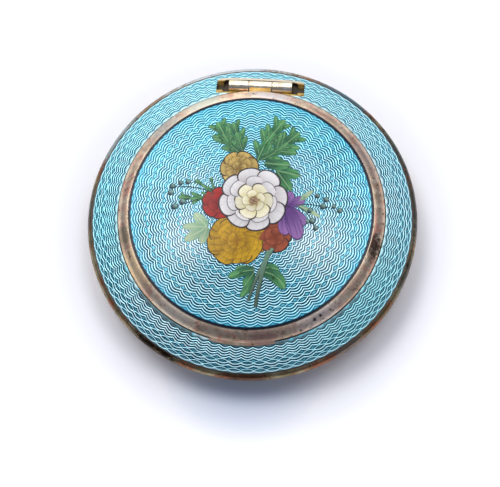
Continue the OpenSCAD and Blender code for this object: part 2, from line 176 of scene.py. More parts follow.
def blue_enamel(name, waves, pitch, lines, crossing, swing, cut_from, cut_to, plain, inner_edge, outer_edge,
                deep, middle, bright, eye, edge_width, edge_tint, dense_from=99.0, sheen_and_thin_patches=()):
    """Enamel that is cut from one radius to another and plain beside them.

    Lines is the number of cuts in a group, of which one crosses the rest, and beyond dense_from every third
    cut does. Plain is how bright the uncut ground is. Each colour is a pair, at the back and at the front,
    where a painted shade gives deeper darks and stronger contrast. Over edge_width the glass takes edge_tint
    towards either edge; on the shoulder this pale tint is a painted highlight. The last argument lists pale
    patches, partly painted highlights and partly glass ground thinner, as (x, y, reach, share, colour)."""
    material, tree = new_material(name)
    place = place_mm(tree)
    part = add(tree, "SeparateXYZ", [place])
    radius, angle = polar_mm(tree, place)

    # The waves grow from the middle outwards, and are calmer where every third cut crosses.
    reach = add(tree, "MapRange", [radius, 0.0, crossing, 0.5 * swing, swing])
    calm = add(tree, "MapRange", [radius, dense_from, dense_from + 0.3, 1.0, DENSE_SWING])
    reach = add(tree, "Math", [reach, calm], operation="MULTIPLY")
    group = add(tree, "MapRange", [radius, dense_from, dense_from + 0.01,
                                   lines * pitch / 2, DENSE_LINES * pitch / 2])
    cut, shift = nearest_cut(tree, radius, angle, waves, pitch, group, crossing, reach)

    # The painted front shade is 0 at the back and 1 at the front, in soft clouds. Glint is 1 in a cut and 0
    # between cuts.
    cloud = add(tree, "TexNoise", {"Vector": place, "Scale": 0.3, "Detail": 3.0})
    front = add(tree, "MapRange", [part.outputs["Y"], BACK_Y, FRONT_Y, 0.0, 0.85])
    front_shade = add(tree, "MapRange", [cloud.outputs["Fac"], 0.35, 0.65, -0.2, 0.2])
    front_shade = add(tree, "Math", [front, front_shade], operation="ADD", use_clamp=True)
    flank = add(tree, "MapRange", [front_shade, 0.0, 1.0, 0.37 * pitch, 0.34 * pitch])
    glint = add(tree, "MapRange", [cut, 0.0, flank, 1.0, 0.0], interpolation_type="SMOOTHSTEP")
    waved = add(tree, "Math", [radius, shift], operation="SUBTRACT")
    before = add(tree, "Math", [waved, cut_from], operation="LESS_THAN")
    beyond = add(tree, "Math", [waved, cut_to], operation="GREATER_THAN")
    uncut = add(tree, "Math", [before, beyond], operation="MAXIMUM")
    mottle = add(tree, "TexNoise", {"Vector": place, "Scale": 2.2, "Detail": 4.0, "Roughness": 0.7})
    uneven = add(tree, "MapRange", [mottle.outputs["Fac"], 0.3, 0.7, -0.16, 0.16])
    glint = add(tree, "Math", [glint, uneven], operation="ADD", use_clamp=True)
    ground = add(tree, "MapRange", [mottle.outputs["Fac"], 0.3, 0.7, plain - 0.2, plain + 0.2])
    # Towards the front the plain ground is darkened: a painted shadow of the lid's border.
    shade = add(tree, "MapRange", [front_shade, 0.65, 0.9, 0.0, 0.88])
    ground = add(tree, "Math", [ground, shade], operation="SUBTRACT")
    glint = add(tree, "Mix", {0: uncut, 2: glint, 3: ground}, data_type="FLOAT")

    # The glint picks the colour: deep between cuts, middle on their flanks, bright in them. The little
    # lozenges that crossing cuts leave between them have a colour of their own.
    deep, middle, bright, eye = (add(tree, "Mix", {0: front_shade, 6: linear(at_back), 7: linear(at_front)},
                                     data_type="RGBA") for at_back, at_front in (deep, middle, bright, eye))
    first = add(tree, "MapRange", [glint, 0.07, 0.38, 0.0, 1.0])
    second = add(tree, "MapRange", [glint, 0.42, 0.78, 0.0, 1.0])
    colour = add(tree, "Mix", {0: first, 6: deep, 7: middle}, data_type="RGBA")
    colour = add(tree, "Mix", {0: second, 6: colour, 7: bright}, data_type="RGBA")
    in_eye = add(tree, "MapRange", [cut, 0.5 * pitch, 0.72 * pitch, 0.0, 0.9])
    is_cut = add(tree, "Math", [1.0, uncut], operation="SUBTRACT")
    in_eye = add(tree, "Math", [in_eye, is_cut], operation="MULTIPLY")
    colour = add(tree, "Mix", {0: in_eye, 6: colour, 7: eye}, data_type="RGBA")
    # Pale patches: partly painted highlights and partly glass ground thinner.
    for x, y, reach, share, tint in sheen_and_thin_patches:
        far = add(tree, "VectorMath", [place, (x, y, GROUND_Z)], operation="DISTANCE").outputs["Value"]
        near = add(tree, "MapRange", [far, reach, 0.0, 0.0, share], interpolation_type="SMOOTHSTEP")
        shows = add(tree, "MapRange", [glint, 0.1, 0.6, 0.1, 1.0])
        near = add(tree, "Math", [near, shows], operation="MULTIPLY")
        colour = add(tree, "Mix", {0: near, 6: colour, 7: linear(tint)}, data_type="RGBA")

    # A dark line fences the cuts off from the plain ground, and the glass ends in a dark edge.
    from_fence = add(tree, "Math", [waved, cut_from], operation="SUBTRACT")
    from_fence = add(tree, "Math", [from_fence], operation="ABSOLUTE")
    fence = add(tree, "MapRange", [from_fence, FENCE_FULL, FENCE_END, 0.6, 0.0])
    colour = add(tree, "Mix", {0: fence, 6: colour, 7: deep}, data_type="RGBA")
    # On the shoulder the edge tint is pale: a painted highlight along both edges of the glass.
    for edge, way in ((inner_edge, -1), (outer_edge, 1)):
        thick = add(tree, "MapRange", [radius, edge - edge_width * way, edge, 0.0, EDGE_SHARE])
        colour = add(tree, "Mix", {0: thick, 6: colour, 7: linear(edge_tint)}, data_type="RGBA")
        at_edge = add(tree, "MapRange", [radius, edge - DARK_EDGE * way, edge + DARK_EDGE * way, 0.0, 1.0])
        colour = add(tree, "Mix", {0: at_edge, 6: colour, 7: linear("#04182C")}, data_type="RGBA")

    # The cuts roughen the silver under the glass, and the coat over them keeps its own smooth skin.
    relief = add(tree, "Bump", {"Strength": 1.0, "Distance": CUT_RELIEF_MM * MM, "Height": glint})
    skin = add(tree, "Bump", {"Strength": 0.3, "Distance": 0.01 * MM, "Height": mottle.outputs["Fac"]})
    turned = add(tree, "Tangent", direction_type="RADIAL", axis="Z")
    surface(tree, Base_Color=colour, Metallic=0.35, Roughness=0.3, Normal=relief, Tangent=turned,
            Specular_IOR_Level=0.1, Anisotropic=0.7, Anisotropic_Rotation=0.25, Coat_Weight=0.2,
            Coat_Roughness=0.05, Coat_IOR=1.5, Coat_Normal=skin)
    return material


# The real cuts are about 0.35 mm apart on the lid and closer on the shoulder. They are drawn a little
# coarser, with fewer of them in each group, so that they still show as lines in a small picture. The lid is
# cut and glazed right over its middle, so its inner limits lie below zero.
# The pale patches listed below are partly painted highlights and partly glass ground thinner.
PALE_SHEEN = "#EAFDFF"
lid_blue = blue_enamel("basse_taille_enamel_lid", waves=50, pitch=0.41, lines=6, crossing=15.7, swing=0.2,
                       cut_from=-1.0, cut_to=18.3, plain=0.3, inner_edge=-9.0, outer_edge=18.0,
                       deep=("#045470", "#000C16"), middle=("#2AD6F0", "#22C6E4"),
                       bright=("#B8FAFE", "#DEFCFF"), eye=("#7AD6E8", "#5AB8CE"),
                       edge_width=1.3, edge_tint="#28A4C4",
                       sheen_and_thin_patches=((9.5, -4.5, 7.5, 0.9, PALE_SHEEN), (-9.0, -5.0, 6.5, 0.9, PALE_SHEEN),
                             (0.0, 4.0, 16.0, 0.15, PALE_SHEEN), (7.0, 6.0, 6.0, 0.35, PALE_SHEEN),
                             (-8.0, 2.5, 6.0, 0.35, PALE_SHEEN)))
shoulder_blue = blue_enamel("basse_taille_enamel_shoulder", waves=78, pitch=0.35, lines=12, crossing=22.6,
                            swing=0.15, cut_from=20.48, cut_to=24.4, plain=0.92, inner_edge=20.18,
                            outer_edge=24.13, deep=("#04506A", "#000A14"), middle=("#5AE8F8", "#54DCF4"),
                            bright=("#D2FCFF", "#F4FFFF"), eye=("#84DAEA", "#52AEC4"),
                            edge_width=0.4, edge_tint="#C0F4FC", dense_from=22.3,
                            sheen_and_thin_patches=((22.0, -2.0, 24.0, 0.25, PALE_SHEEN), (18.0, -12.0, 19.0, 0.75, "#A4FAFF"),
                                  (-22.0, -4.0, 18.0, 0.45, "#8CF8FF"), (14.0, 18.0, 16.0, 0.5, "#D2FDFF")))
dress(lid_blue, "lid_enamel")
dress(shoulder_blue, "shoulder_enamel")

# %% [markdown]
# The metal is gilding metal, a copper-rich brass, under a thin wash of gold. A hundred years of handling
# wears the gold through on what stands proud, and the brass there turns rose and brown. So each part has its
# own state: bright in the shelter of the hinge, rose and mottled on the lid's border, dark on the rim. Over
# that, dark bands in seams and hollows are painted shade, bright bands along edges are painted highlights,
# and the pale and dark patches are partly painted light and shade.

# %% Gilt metal in its different states of wear, with painted light and shade
LATHE_LINES_PER_MM = 4.0
HIGHLIGHT_BAND_ROUGHNESS = 0.24


def gilt(name, light, dark, flush, stain, stain_share, patch_mm, roughness, spun=0.0, grime_and_shade=None, rubbed=None,
         tarnish_and_painted_light=(), metallic=1.0):
    """Gilding metal: light and dark vary over patch_mm with a flush of a third colour, stain covers about
    stain_share, and spun is how much the lathe lines show.

    The dark band is (coordinate, from, to, colour): it grows as that coordinate goes from one value to the
    other, and is painted shade in a seam or hollow, with the dirt that gathers there. The bright band is the
    same: a painted highlight along an edge, on the rim a painted reflection of the floor, and partly gold
    rubbed bare. The patches are (x, y, z, reach, colour), darker or paler: partly tarnish and partly painted
    light and shade."""
    material, tree = new_material(name)
    place = place_mm(tree)
    radius, angle = polar_mm(tree, place)
    part = add(tree, "SeparateXYZ", [place])
    along = {"radius": radius, "Y": part.outputs["Y"], "Z": part.outputs["Z"]}

    # Three noises of the same metal: patches of light and dark, a flush over them, and small stains.
    patches = add(tree, "TexNoise", {"Vector": place, "Scale": 1 / patch_mm, "Detail": 4.0, "Roughness": 0.6})
    patchy = add(tree, "MapRange", [patches.outputs["Fac"], 0.35, 0.65, 0.0, 1.0])
    colour = add(tree, "Mix", {0: patchy, 6: linear(dark), 7: linear(light)}, data_type="RGBA")
    elsewhere = add(tree, "VectorMath", [place, (31.0, 17.0, 5.0)], operation="ADD")
    blush = add(tree, "TexNoise", {"Vector": elsewhere, "Scale": 1.3 / patch_mm, "Detail": 5.0,
                                   "Roughness": 0.7})
    flushed = add(tree, "MapRange", [blush.outputs["Fac"], 0.47, 0.62, 0.0, 0.85])
    colour = add(tree, "Mix", {0: flushed, 6: colour, 7: linear(flush)}, data_type="RGBA")
    spots = add(tree, "TexNoise", {"Vector": place, "Scale": 1.6 / patch_mm, "Detail": 8.0, "Roughness": 0.7})
    spotted = add(tree, "MapRange", [spots.outputs["Fac"], 0.62 - 0.3 * stain_share, 0.72 - 0.3 * stain_share,
                                     0.0, 1.0])

    # Noise breaks up the edge of each patch, which is partly tarnish and partly painted light and shade.
    # A patch further down the list lies over the others.
    broken = add(tree, "TexNoise", {"Vector": place, "Scale": 1.6, "Detail": 7.0, "Roughness": 0.75})
    for x, y, z, reach, shade in tarnish_and_painted_light:
        far = add(tree, "VectorMath", [place, (x, y, z)], operation="DISTANCE").outputs["Value"]
        near = add(tree, "MapRange", [far, reach, 0.2 * reach, -0.3, 0.18])
        near = add(tree, "Math", [near, broken.outputs["Fac"]], operation="ADD")
        darkened = add(tree, "MapRange", [near, 0.46, 0.66, 0.0, 0.92])
        colour = add(tree, "Mix", {0: darkened, 6: colour, 7: linear(shade)}, data_type="RGBA")
    dull = add(tree, "MapRange", [spots.outputs["Fac"], 0.3, 0.7, roughness - 0.08, roughness + 0.14])
    # A bright band of painted highlight along an edge, partly where the gold is rubbed bare.
    if rubbed:
        axis, start, end, shade = rubbed
        bright_band = add(tree, "MapRange", [along[axis], start, end, 0.0, 0.9])
        colour = add(tree, "Mix", {0: bright_band, 6: colour, 7: linear(shade)}, data_type="RGBA")
        dull = add(tree, "Mix", {0: bright_band, 2: dull, 3: HIGHLIGHT_BAND_ROUGHNESS}, data_type="FLOAT")
    colour = add(tree, "Mix", {0: spotted, 6: colour, 7: linear(stain)}, data_type="RGBA")
    # A dark band of painted shade in a seam or hollow, with the dirt that gathers there.
    if grime_and_shade:
        axis, start, end, shade = grime_and_shade
        gathered = add(tree, "MapRange", [along[axis], start, end, 0.0, 0.94])
        colour = add(tree, "Mix", {0: gathered, 6: colour, 7: linear(shade)}, data_type="RGBA")

    # The lathe left fine rings, and where the metal wasn't spun it has a fine grain instead.
    outward = add(tree, "Math", [radius, LATHE_LINES_PER_MM], operation="MULTIPLY")
    ring = add(tree, "CombineXYZ", {"X": outward, "Y": angle})
    lines = add(tree, "TexNoise", {"Vector": ring, "Scale": 1.0, "Detail": 5.0})
    grain = add(tree, "TexNoise", {"Vector": place, "Scale": 6.0, "Detail": 6.0, "Roughness": 0.65})
    height = add(tree, "Mix", {0: spun, 2: grain.outputs["Fac"], 3: lines.outputs["Fac"]}, data_type="FLOAT")
    relief = add(tree, "Bump", {"Strength": 0.5, "Distance": 0.02 * MM, "Height": height})
    surface(tree, Base_Color=colour, Metallic=metallic, Roughness=dull, Normal=relief)
    return material


# On the border: a dark band of painted shade by the enamel, a thin painted highlight beside it, and patches
# that are partly painted light and shade.
border_gilt = gilt("gilt_brass_worn_rose", "#E8D2B4", "#B69C82", "#CE9480", "#4A3428", 0.15, 1.6, 0.34,
                   spun=0.4, grime_and_shade=("radius", 18.46, 18.40, "#0C1420"),
                   rubbed=("radius", 18.56, 18.52, "#B4A694"),
                   tarnish_and_painted_light=((18.6, -4.6, 8.7, 4.5, "#3C281E"), (-18.7, -4.8, 8.7, 3.0, "#94846C"),
                            (3.0, -19.2, 8.5, 5.0, "#B49080"), (-16.5, -9.5, 8.7, 7.0, "#F4D4A4"),
                            (-10.0, -16.5, 8.7, 8.0, "#F0DEC4"), (11.0, -15.5, 8.7, 8.0, "#F0DAC8"),
                            (-14.0, 13.0, 8.7, 7.0, "#A8A49A"), (-8.5, 17.2, 8.7, 6.0, "#C2C6B4"),
                            (2.0, 19.0, 8.7, 7.0, "#D0C8C4"), (16.6, 9.6, 8.7, 7.0, "#C8AE9C"),
                            (10.4, -16.1, 8.7, 0.7, "#20140E"), (11.2, -15.5, 8.7, 0.6, "#20140E")))
# On the rim: a dark band of painted shade by the enamel, a painted reflection of the floor along the lower
# edge, and patches that are partly painted light and shade.
rim_gilt = gilt("gilt_brass_rubbed_dark", "#A09474", "#6C5C40", "#8C5038", "#14100C", 0.15, 3.0, 0.34,
                grime_and_shade=("radius", 24.36, 24.30, "#54463A"), rubbed=("Z", 5.02, 4.92, "#F0E0CC"),
                tarnish_and_painted_light=((-13.0, -21.0, 5.5, 9.5, "#0C0808"), (1.0, -24.8, 5.5, 8.0, "#5E3E2E"),
                         (24.0, -8.0, 5.5, 7.0, "#54544A"), (24.5, 3.0, 5.5, 13.0, "#4E4E48"),
                         (15.0, -19.0, 5.5, 6.0, "#74665E"), (21.5, 12.0, 5.5, 10.0, "#4C5450"),
                         (13.0, 21.0, 5.5, 10.0, "#587884"), (-21.5, 12.0, 5.5, 10.0, "#9AA8A8"),
                         (-24.7, 0.0, 5.5, 8.0, "#66645C"), (-6.0, 25.0, 5.5, 22.0, "#B4BCBE")))
tube_gilt = gilt("gilt_brass_bright", "#FCF4E4", "#E8D4B0", "#EED2A0", "#8A6A2A", 0.05, 1.2, 0.16)
# In the trough: painted shade darkens its floor, and a painted highlight runs along the top of its back wall.
trough_gilt = gilt("gilt_brass_trough", "#D8B45C", "#9C7A30", "#B08A48", "#1E140A", 0.1, 1.2, 0.5,
                   grime_and_shade=("Z", 6.4, 6.1, "#1E140A"), rubbed=("Y", 22.2, 22.3, "#DCD0BA"), metallic=0.25)
bearer_gilt = gilt("gilt_brass_bearer", "#AC9058", "#7C6230", "#9A7440", "#2A1C0C", 0.1, 1.2, 0.3)
# On the ledge: a dark band of painted shade towards the narrow gap under the lid's skirt.
ledge_gilt = gilt("gilt_brass_ledge", "#D8BE88", "#B09460", "#A87850", "#1C140C", 0.1, 3.0, 0.3,
                  grime_and_shade=("radius", 19.5, 19.9, "#1C140C"))
inside_gilt = gilt("gilt_brass_inside_spun", "#EBCF98", "#D0AE74", "#D8A87C", "#A07C48", 0.05, 5.0, 0.26,
                   spun=0.9)
base_gilt = gilt("gilt_brass_underside", "#D8BC8A", "#A88C60", "#B08468", "#6A5238", 0.15, 5.0, 0.32,
                 spun=0.8)
dress(border_gilt, "lid_shell", "thumb_lip")
dress(rim_gilt, "rim_band")
dress(tube_gilt, "hinge_knuckle_left", "hinge_knuckle_right", "hinge_knuckle_lid")
dress(trough_gilt, "hinge_trough")
dress(bearer_gilt, "hinge_bearer")
dress(ledge_gilt, "shoulder_ring")
dress(inside_gilt, "opening_collar", "catch_nib", "powder_well", "pan_ring", "mirror_bezel")
dress(base_gilt, "base_shell")

# %% [markdown]
# Inside, each part is made as such compacts were. The pin is drawn steel wire, the pan is stamped tinplate,
# the powder is pressed into it through a cloth whose weave stays on its face, and the mirror is silvered
# glass that has begun to spot at its edge, over a disc of grey-brown card. All of that is drawn in the
# materials, as noise and as a weave of sine waves, because it is too fine to need a mesh.

# %% Drawn steel and stamped tinplate
def fine_metal(name, light, dark, stretch, roughness):
    """White metal whose fine lines run long where stretch, in lines per millimetre, is small."""
    material, tree = new_material(name)
    place = place_mm(tree)
    lines = add(tree, "VectorMath", [place, stretch], operation="MULTIPLY")
    drawn = add(tree, "TexNoise", {"Vector": lines, "Scale": 1.0, "Detail": 5.0})
    spots = add(tree, "TexNoise", {"Vector": place, "Scale": 0.9, "Detail": 6.0, "Roughness": 0.7})
    colour = add(tree, "Mix", {0: spots.outputs["Fac"], 6: linear(dark), 7: linear(light)}, data_type="RGBA")
    dull = add(tree, "MapRange", [drawn.outputs["Fac"], 0.3, 0.7, roughness, roughness + 0.16])
    relief = add(tree, "Bump", {"Strength": 0.6, "Distance": 0.02 * MM, "Height": drawn.outputs["Fac"]})
    surface(tree, Base_Color=colour, Metallic=1.0, Roughness=dull, Normal=relief)
    return material


dress(fine_metal("drawn_steel", "#B2B0AA", "#8A8680", (0.4, 9.0, 9.0), 0.24), "hinge_pin")
dress(fine_metal("stamped_tinplate", "#D6D6D0", "#AEAEA8", (2.0, 2.0, 0.6), 0.28), "powder_pan")

# %% Pressed powder
# The cloth's threads are 0.6 mm apart. Finer cloth was usual, but its weave wouldn't show.
WEAVE_MM = 0.6
material, tree = new_material("pressed_powder")
place = place_mm(tree)
part = add(tree, "SeparateXYZ", [place])
turns = [add(tree, "Math", [part.outputs[axis], 2 * math.pi / WEAVE_MM], operation="MULTIPLY")
         for axis in "XY"]
threads = [add(tree, "Math", [turn], operation="SINE") for turn in turns]
weave = add(tree, "Math", threads, operation="MULTIPLY")
grain = add(tree, "TexNoise", {"Vector": place, "Scale": 7.0, "Detail": 6.0, "Roughness": 0.7})
rubbed = add(tree, "TexNoise", {"Vector": place, "Scale": 0.12, "Detail": 2.0})
unrubbed = add(tree, "MapRange", [rubbed.outputs["Fac"], 0.4, 0.6, 0.05, 0.4])
pressed = add(tree, "Math", [weave, unrubbed], operation="MULTIPLY")
height = add(tree, "Math", [pressed, grain.outputs["Fac"]], operation="ADD")
colour = add(tree, "Mix", {0: grain.outputs["Fac"], 6: linear("#D3A384"), 7: linear("#EFCDB2")},
             data_type="RGBA")
relief = add(tree, "Bump", {"Strength": 0.6, "Distance": 0.06 * MM, "Height": height})
surface(tree, Base_Color=colour, Roughness=0.95, Specular_IOR_Level=0.2, Normal=relief)
dress(material, "powder_cake")

# %% Card behind the mirror
material, tree = new_material("pulp_card")
fibres = add(tree, "VectorMath", [place_mm(tree), (1.2, 4.0, 1.2)], operation="MULTIPLY")
fibres = add(tree, "TexNoise", {"Vector": fibres, "Scale": 1.0, "Detail": 7.0, "Roughness": 0.7})
colour = add(tree, "Mix", {0: fibres.outputs["Fac"], 6: linear("#6E5E4C"), 7: linear("#A2917A")},
             data_type="RGBA")
relief = add(tree, "Bump", {"Strength": 0.5, "Distance": 0.05 * MM, "Height": fibres.outputs["Fac"]})
surface(tree, Base_Color=colour, Roughness=0.9, Normal=relief)
dress(material, "mirror_backing")

# %% Silvered glass that has begun to spot at its edge
material, tree = new_material("silvered_glass_aged")
place = place_mm(tree)
radius = polar_mm(tree, place)[0]
blotches = add(tree, "TexNoise", {"Vector": place, "Scale": 1.1, "Detail": 6.0, "Roughness": 0.65})
to_edge = add(tree, "MapRange", [radius, 13.0, 17.0, -0.22, 0.08])
worn = add(tree, "Math", [blotches.outputs["Fac"], to_edge], operation="ADD")
spotted = add(tree, "MapRange", [worn, 0.56, 0.62, 0.0, 1.0])
colour = add(tree, "Mix", {0: spotted, 6: linear("#EDF1F0"), 7: linear("#6A655C")}, data_type="RGBA")
dull = add(tree, "MapRange", [spotted, 0.0, 1.0, 0.015, 0.5])
surface(tree, Base_Color=colour, Metallic=1.0, Roughness=dull, Coat_Weight=0.4, Coat_Roughness=0.01)
dress(material, "mirror_glass")

# %% [markdown]
# The puff is a flat round cushion of velour, filled with wadding, with a satin top sewn to it a little inside
# its edge and a ribbon to slip two fingers under. It is only 35 mm across, and cloth simulation is tuned for
# sizes near a metre. So the pad is simulated twenty times as large: a slack start shape is blown up from
# inside, held by its seam, and then shrunk back. It may move no further than the wadding would let it.

# %% A helper that makes an object of points and faces
def new_object(name, points, faces):
    """A smooth-shaded object in the scene, from points in metres and faces as tuples of point numbers."""
    mesh = bpy.data.meshes.new(name)
    mesh.from_pydata(points, [], faces)
    mesh.shade_smooth()
    made = bpy.data.objects.new(name, mesh)
    bpy.context.scene.collection.objects.link(made)
    print(name, "has", len(faces), "faces")
    return made


# %% The puff's start shape
# The profile runs from the middle of the top, over the edge, to the middle of the underside, as shares of
# the puff's radius and of half its height. Its sixth point is the furrow that the satin is stitched in.
puff_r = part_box("puff_pad")[1].x / MM
puff_low, puff_high = (corner.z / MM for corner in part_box("puff_pad"))
cover_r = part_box("puff_cover")[1].x / MM
ribbon_half_len, ribbon_half_w = (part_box("puff_ribbon")[1][axis] / MM for axis in (0, 1))
SEAM_R = cover_r - 0.3
SLICES = 96
HALF = (puff_high - puff_low) / 2
PAD_PROFILE = [(0.0, 0.72), (0.2, 0.72), (0.4, 0.71), (0.6, 0.70), (0.78, 0.67), (SEAM_R / puff_r, 0.52),
               (0.95, 0.56), (0.975, 0.36), (0.985, 0.0), (0.97, -0.45), (0.93, -0.74), (0.86, -0.86),
               (0.7, -0.9), (0.5, -0.9), (0.25, -0.9), (0.0, -0.9)]
SEAM_ROW = 5


def turned_object(name, profile, slices):
    """A closed body turned round Z from (radius, height) pairs whose first and last lie on the axis."""
    points = [(0, 0, profile[0][1])]
    for radius, height in profile[1:-1]:
        points += [(radius * math.cos(a), radius * math.sin(a), height)
                   for a in (2 * math.pi * k / slices for k in range(slices))]
    points.append((0, 0, profile[-1][1]))
    faces = []
    rows = len(profile) - 2
    for k in range(slices):
        n = (k + 1) % slices
        faces.append((0, 1 + k, 1 + n))
        faces += [(1 + row * slices + k, 1 + (row + 1) * slices + k, 1 + (row + 1) * slices + n,
                   1 + row * slices + n) for row in range(rows - 1)]
        faces.append((len(points) - 1, 1 + (rows - 1) * slices + n, 1 + (rows - 1) * slices + k))
    return new_object(name, points, faces)


SIM_SCALE = 20
to_sim = SIM_SCALE * MM
pad = turned_object("puff_pad_soft", [(across * puff_r * to_sim, height * HALF * to_sim)
                                      for across, height in PAD_PROFILE], SLICES)
pad_mesh = pad.data
seam = pad.vertex_groups.new(name="seam")
first = 1 + (SEAM_ROW - 1) * SLICES
STITCH_EVERY = 3
seam.add(list(range(first, first + SLICES, STITCH_EVERY)), 1.0, "REPLACE")

# %% Cloth simulation of the pad
# Wadding lets the velour rise by 0.3 mm at most.
SIM_FRAMES = 20
CAP = 0.30 * to_sim
start = [v.co.copy() for v in pad_mesh.vertices]
cloth = pad.modifiers.new("cloth", "CLOTH")
cloth.settings.quality = 8
cloth.settings.mass = 0.3
cloth.settings.tension_stiffness = 12
cloth.settings.compression_stiffness = 12
cloth.settings.bending_stiffness = 0.4
cloth.settings.use_pressure = True
cloth.settings.uniform_pressure_force = 4
cloth.settings.vertex_group_mass = "seam"
cloth.settings.effector_weights.gravity = 0
cloth.point_cache.frame_end = SIM_FRAMES
for frame_number in range(1, SIM_FRAMES + 1):
    bpy.context.scene.frame_set(frame_number)
swollen = pad.evaluated_get(bpy.context.evaluated_depsgraph_get()).to_mesh()
moved = []
for index, vertex in enumerate(swollen.vertices):
    step = vertex.co - start[index]
    moved.append(step.length / to_sim)
    start[index] += step * min(1.0, CAP / max(step.length, 1e-9))
pad.modifiers.remove(cloth)
for vertex, co in zip(pad_mesh.vertices, start):
    vertex.co = co
bpy.context.scene.frame_set(1)
print("pad moved", round(max(moved), 2), "mm at most, capped at", CAP / to_sim)

# %% The pad in its place
# It is shrunk back, and kept a hair inside the CAD pad: at the side, underneath and under the satin.
SIDE_AIR, LOW_AIR, TOP_AIR = 0.03, 0.02, 0.06
for vertex in pad_mesh.vertices:
    co = vertex.co / SIM_SCALE
    keep = min(1.0, (puff_r - SIDE_AIR) * MM / max(co.xy.length, 1e-9))
    height = max(-HALF + LOW_AIR, min(HALF - TOP_AIR, co.z / MM)) * MM
    vertex.co = (co.x * keep, co.y * keep, height + (puff_low + HALF) * MM)
smooth = pad.modifiers.new("smooth", "SUBSURF")
smooth.levels = smooth.render_levels = 1
pad_heights = [vertex.co.z / MM for vertex in pad_mesh.vertices]
print("pad lies from", round(min(pad_heights), 2), "to", round(max(pad_heights), 2), "mm above the table")

# %% [markdown]
# The satin top is one disc of cloth, drawn tight over the pad and gathered by its stitches. The ribbon is
# sewn down at both ends and free between them. Both follow the pad closely, so they are grids of points laid
# on its upper face, each a little higher than the last, and need no simulation of their own.

# %% Points on the pad, and a grid that is laid on them
pad_tree = BVHTree.FromObject(pad, bpy.context.evaluated_depsgraph_get())


def pad_top(x, y):
    """Height of the pad's upper face over (x, y), in millimetres."""
    hit = pad_tree.ray_cast(Vector((x * MM, y * MM, 1.0)), Vector((0, 0, -1)))[0]
    return hit.z / MM if hit else puff_low + HALF


def grid_object(name, columns, rows, place_point):
    """A sheet of columns by rows faces. Place_point(u, v) gives its points in mm, for u and v from 0 to 1."""
    points = [tuple(c * MM for c in place_point(i / columns, j / rows))
              for j in range(rows + 1) for i in range(columns + 1)]
    wide = columns + 1
    faces = [(j * wide + i, j * wide + i + 1, (j + 1) * wide + i + 1, (j + 1) * wide + i)
             for j in range(rows) for i in range(columns)]
    return new_object(name, points, faces)


# %% The satin top
PUCKERS = 48
PUCKER_MM = 0.06
COVER_LIFT = 0.05


def cover_point(u, v):
    """Satin drawn tight over the pad, with small puckers that fade inward from its stitched edge."""
    turn = 2 * math.pi * u
    reach = cover_r * max(v, 0.002)
    x, y = reach * math.cos(turn), reach * math.sin(turn)
    pucker = PUCKER_MM * v ** 6 * math.sin(PUCKERS * turn + 0.7 * math.sin(5 * turn))
    return x, y, pad_top(0.985 * x, 0.985 * y) + COVER_LIFT + pucker


cover = grid_object("puff_satin_top", 288, 24, cover_point)

# %% The ribbon
RIBBON_LIFT = 0.17
RIBBON_WAIST = 0.1
RIBBON_RISE, RIBBON_ARCH, RIBBON_WAVE = 0.16, 0.05, 0.02


def ribbon_point(u, v):
    """A ribbon across the puff: flat at its sewn ends, a little lifted and softly waved between them."""
    x = (2 * u - 1) * ribbon_half_len
    y = (2 * v - 1) * ribbon_half_w * (1 - RIBBON_WAIST * math.sin(math.pi * u))
    rise = RIBBON_RISE * math.sin(math.pi * u) ** 2 + RIBBON_WAVE * math.sin(9 * u + 5 * v)
    arch = RIBBON_ARCH * (1 - (2 * v - 1) ** 2) * math.sin(math.pi * u)
    return x, y, pad_top(x, y) + RIBBON_LIFT + rise + arch


ribbon = grid_object("puff_ribbon_soft", 96, 16, ribbon_point)

# %% The stitches
# Each stitch is a short six-sided tube along the seam, thickest in its middle, with a gap to the next one.
STITCHES = 120
STITCH_SHARE = 0.68
THREAD_R = 0.1
STITCH_LIFT = 0.06
SIDES = 6
ENDS = (0.0, 0.25, 0.5, 0.75, 1.0)
stitch_points, stitch_faces = [], []
for k in range(STITCHES):
    turn = 2 * math.pi * k / STITCHES
    for end in ENDS:
        a = turn + (end - 0.5) * 2 * math.pi * STITCH_SHARE / STITCHES
        thick = THREAD_R * math.sqrt(max(0.05, 1 - (2 * end - 1) ** 2))
        out = Vector((math.cos(a), math.sin(a), 0))
        base = SEAM_R * out
        base.z = pad_top(base.x, base.y) + STITCH_LIFT
        for side in range(SIDES):
            spin = 2 * math.pi * side / SIDES
            co = base + out * thick * math.cos(spin) + Vector((0, 0, thick * math.sin(spin)))
            stitch_points.append(tuple(co * MM))
    start = k * SIDES * len(ENDS)
    for row in range(start, start + SIDES * (len(ENDS) - 1), SIDES):
        stitch_faces += [(row + side, row + (side + 1) % SIDES, row + SIDES + (side + 1) % SIDES,
                          row + SIDES + side) for side in range(SIDES)]
    stitch_faces.append(tuple(range(start, start + SIDES)))
    stitch_faces.append(tuple(reversed(range(start + SIDES * (len(ENDS) - 1), start + SIDES * len(ENDS)))))
stitches = new_object("puff_stitches", stitch_points, stitch_faces)

# %% [markdown]
# Velour is a short upright pile: soft, matt, lighter where it is seen edge on, and here with powder caught in
# it. Satin floats its threads on the face, so it shines in one direction, with fine lines along the thread.
# Its soft folds are too shallow to need a mesh of their own, so they are drawn as a bump.

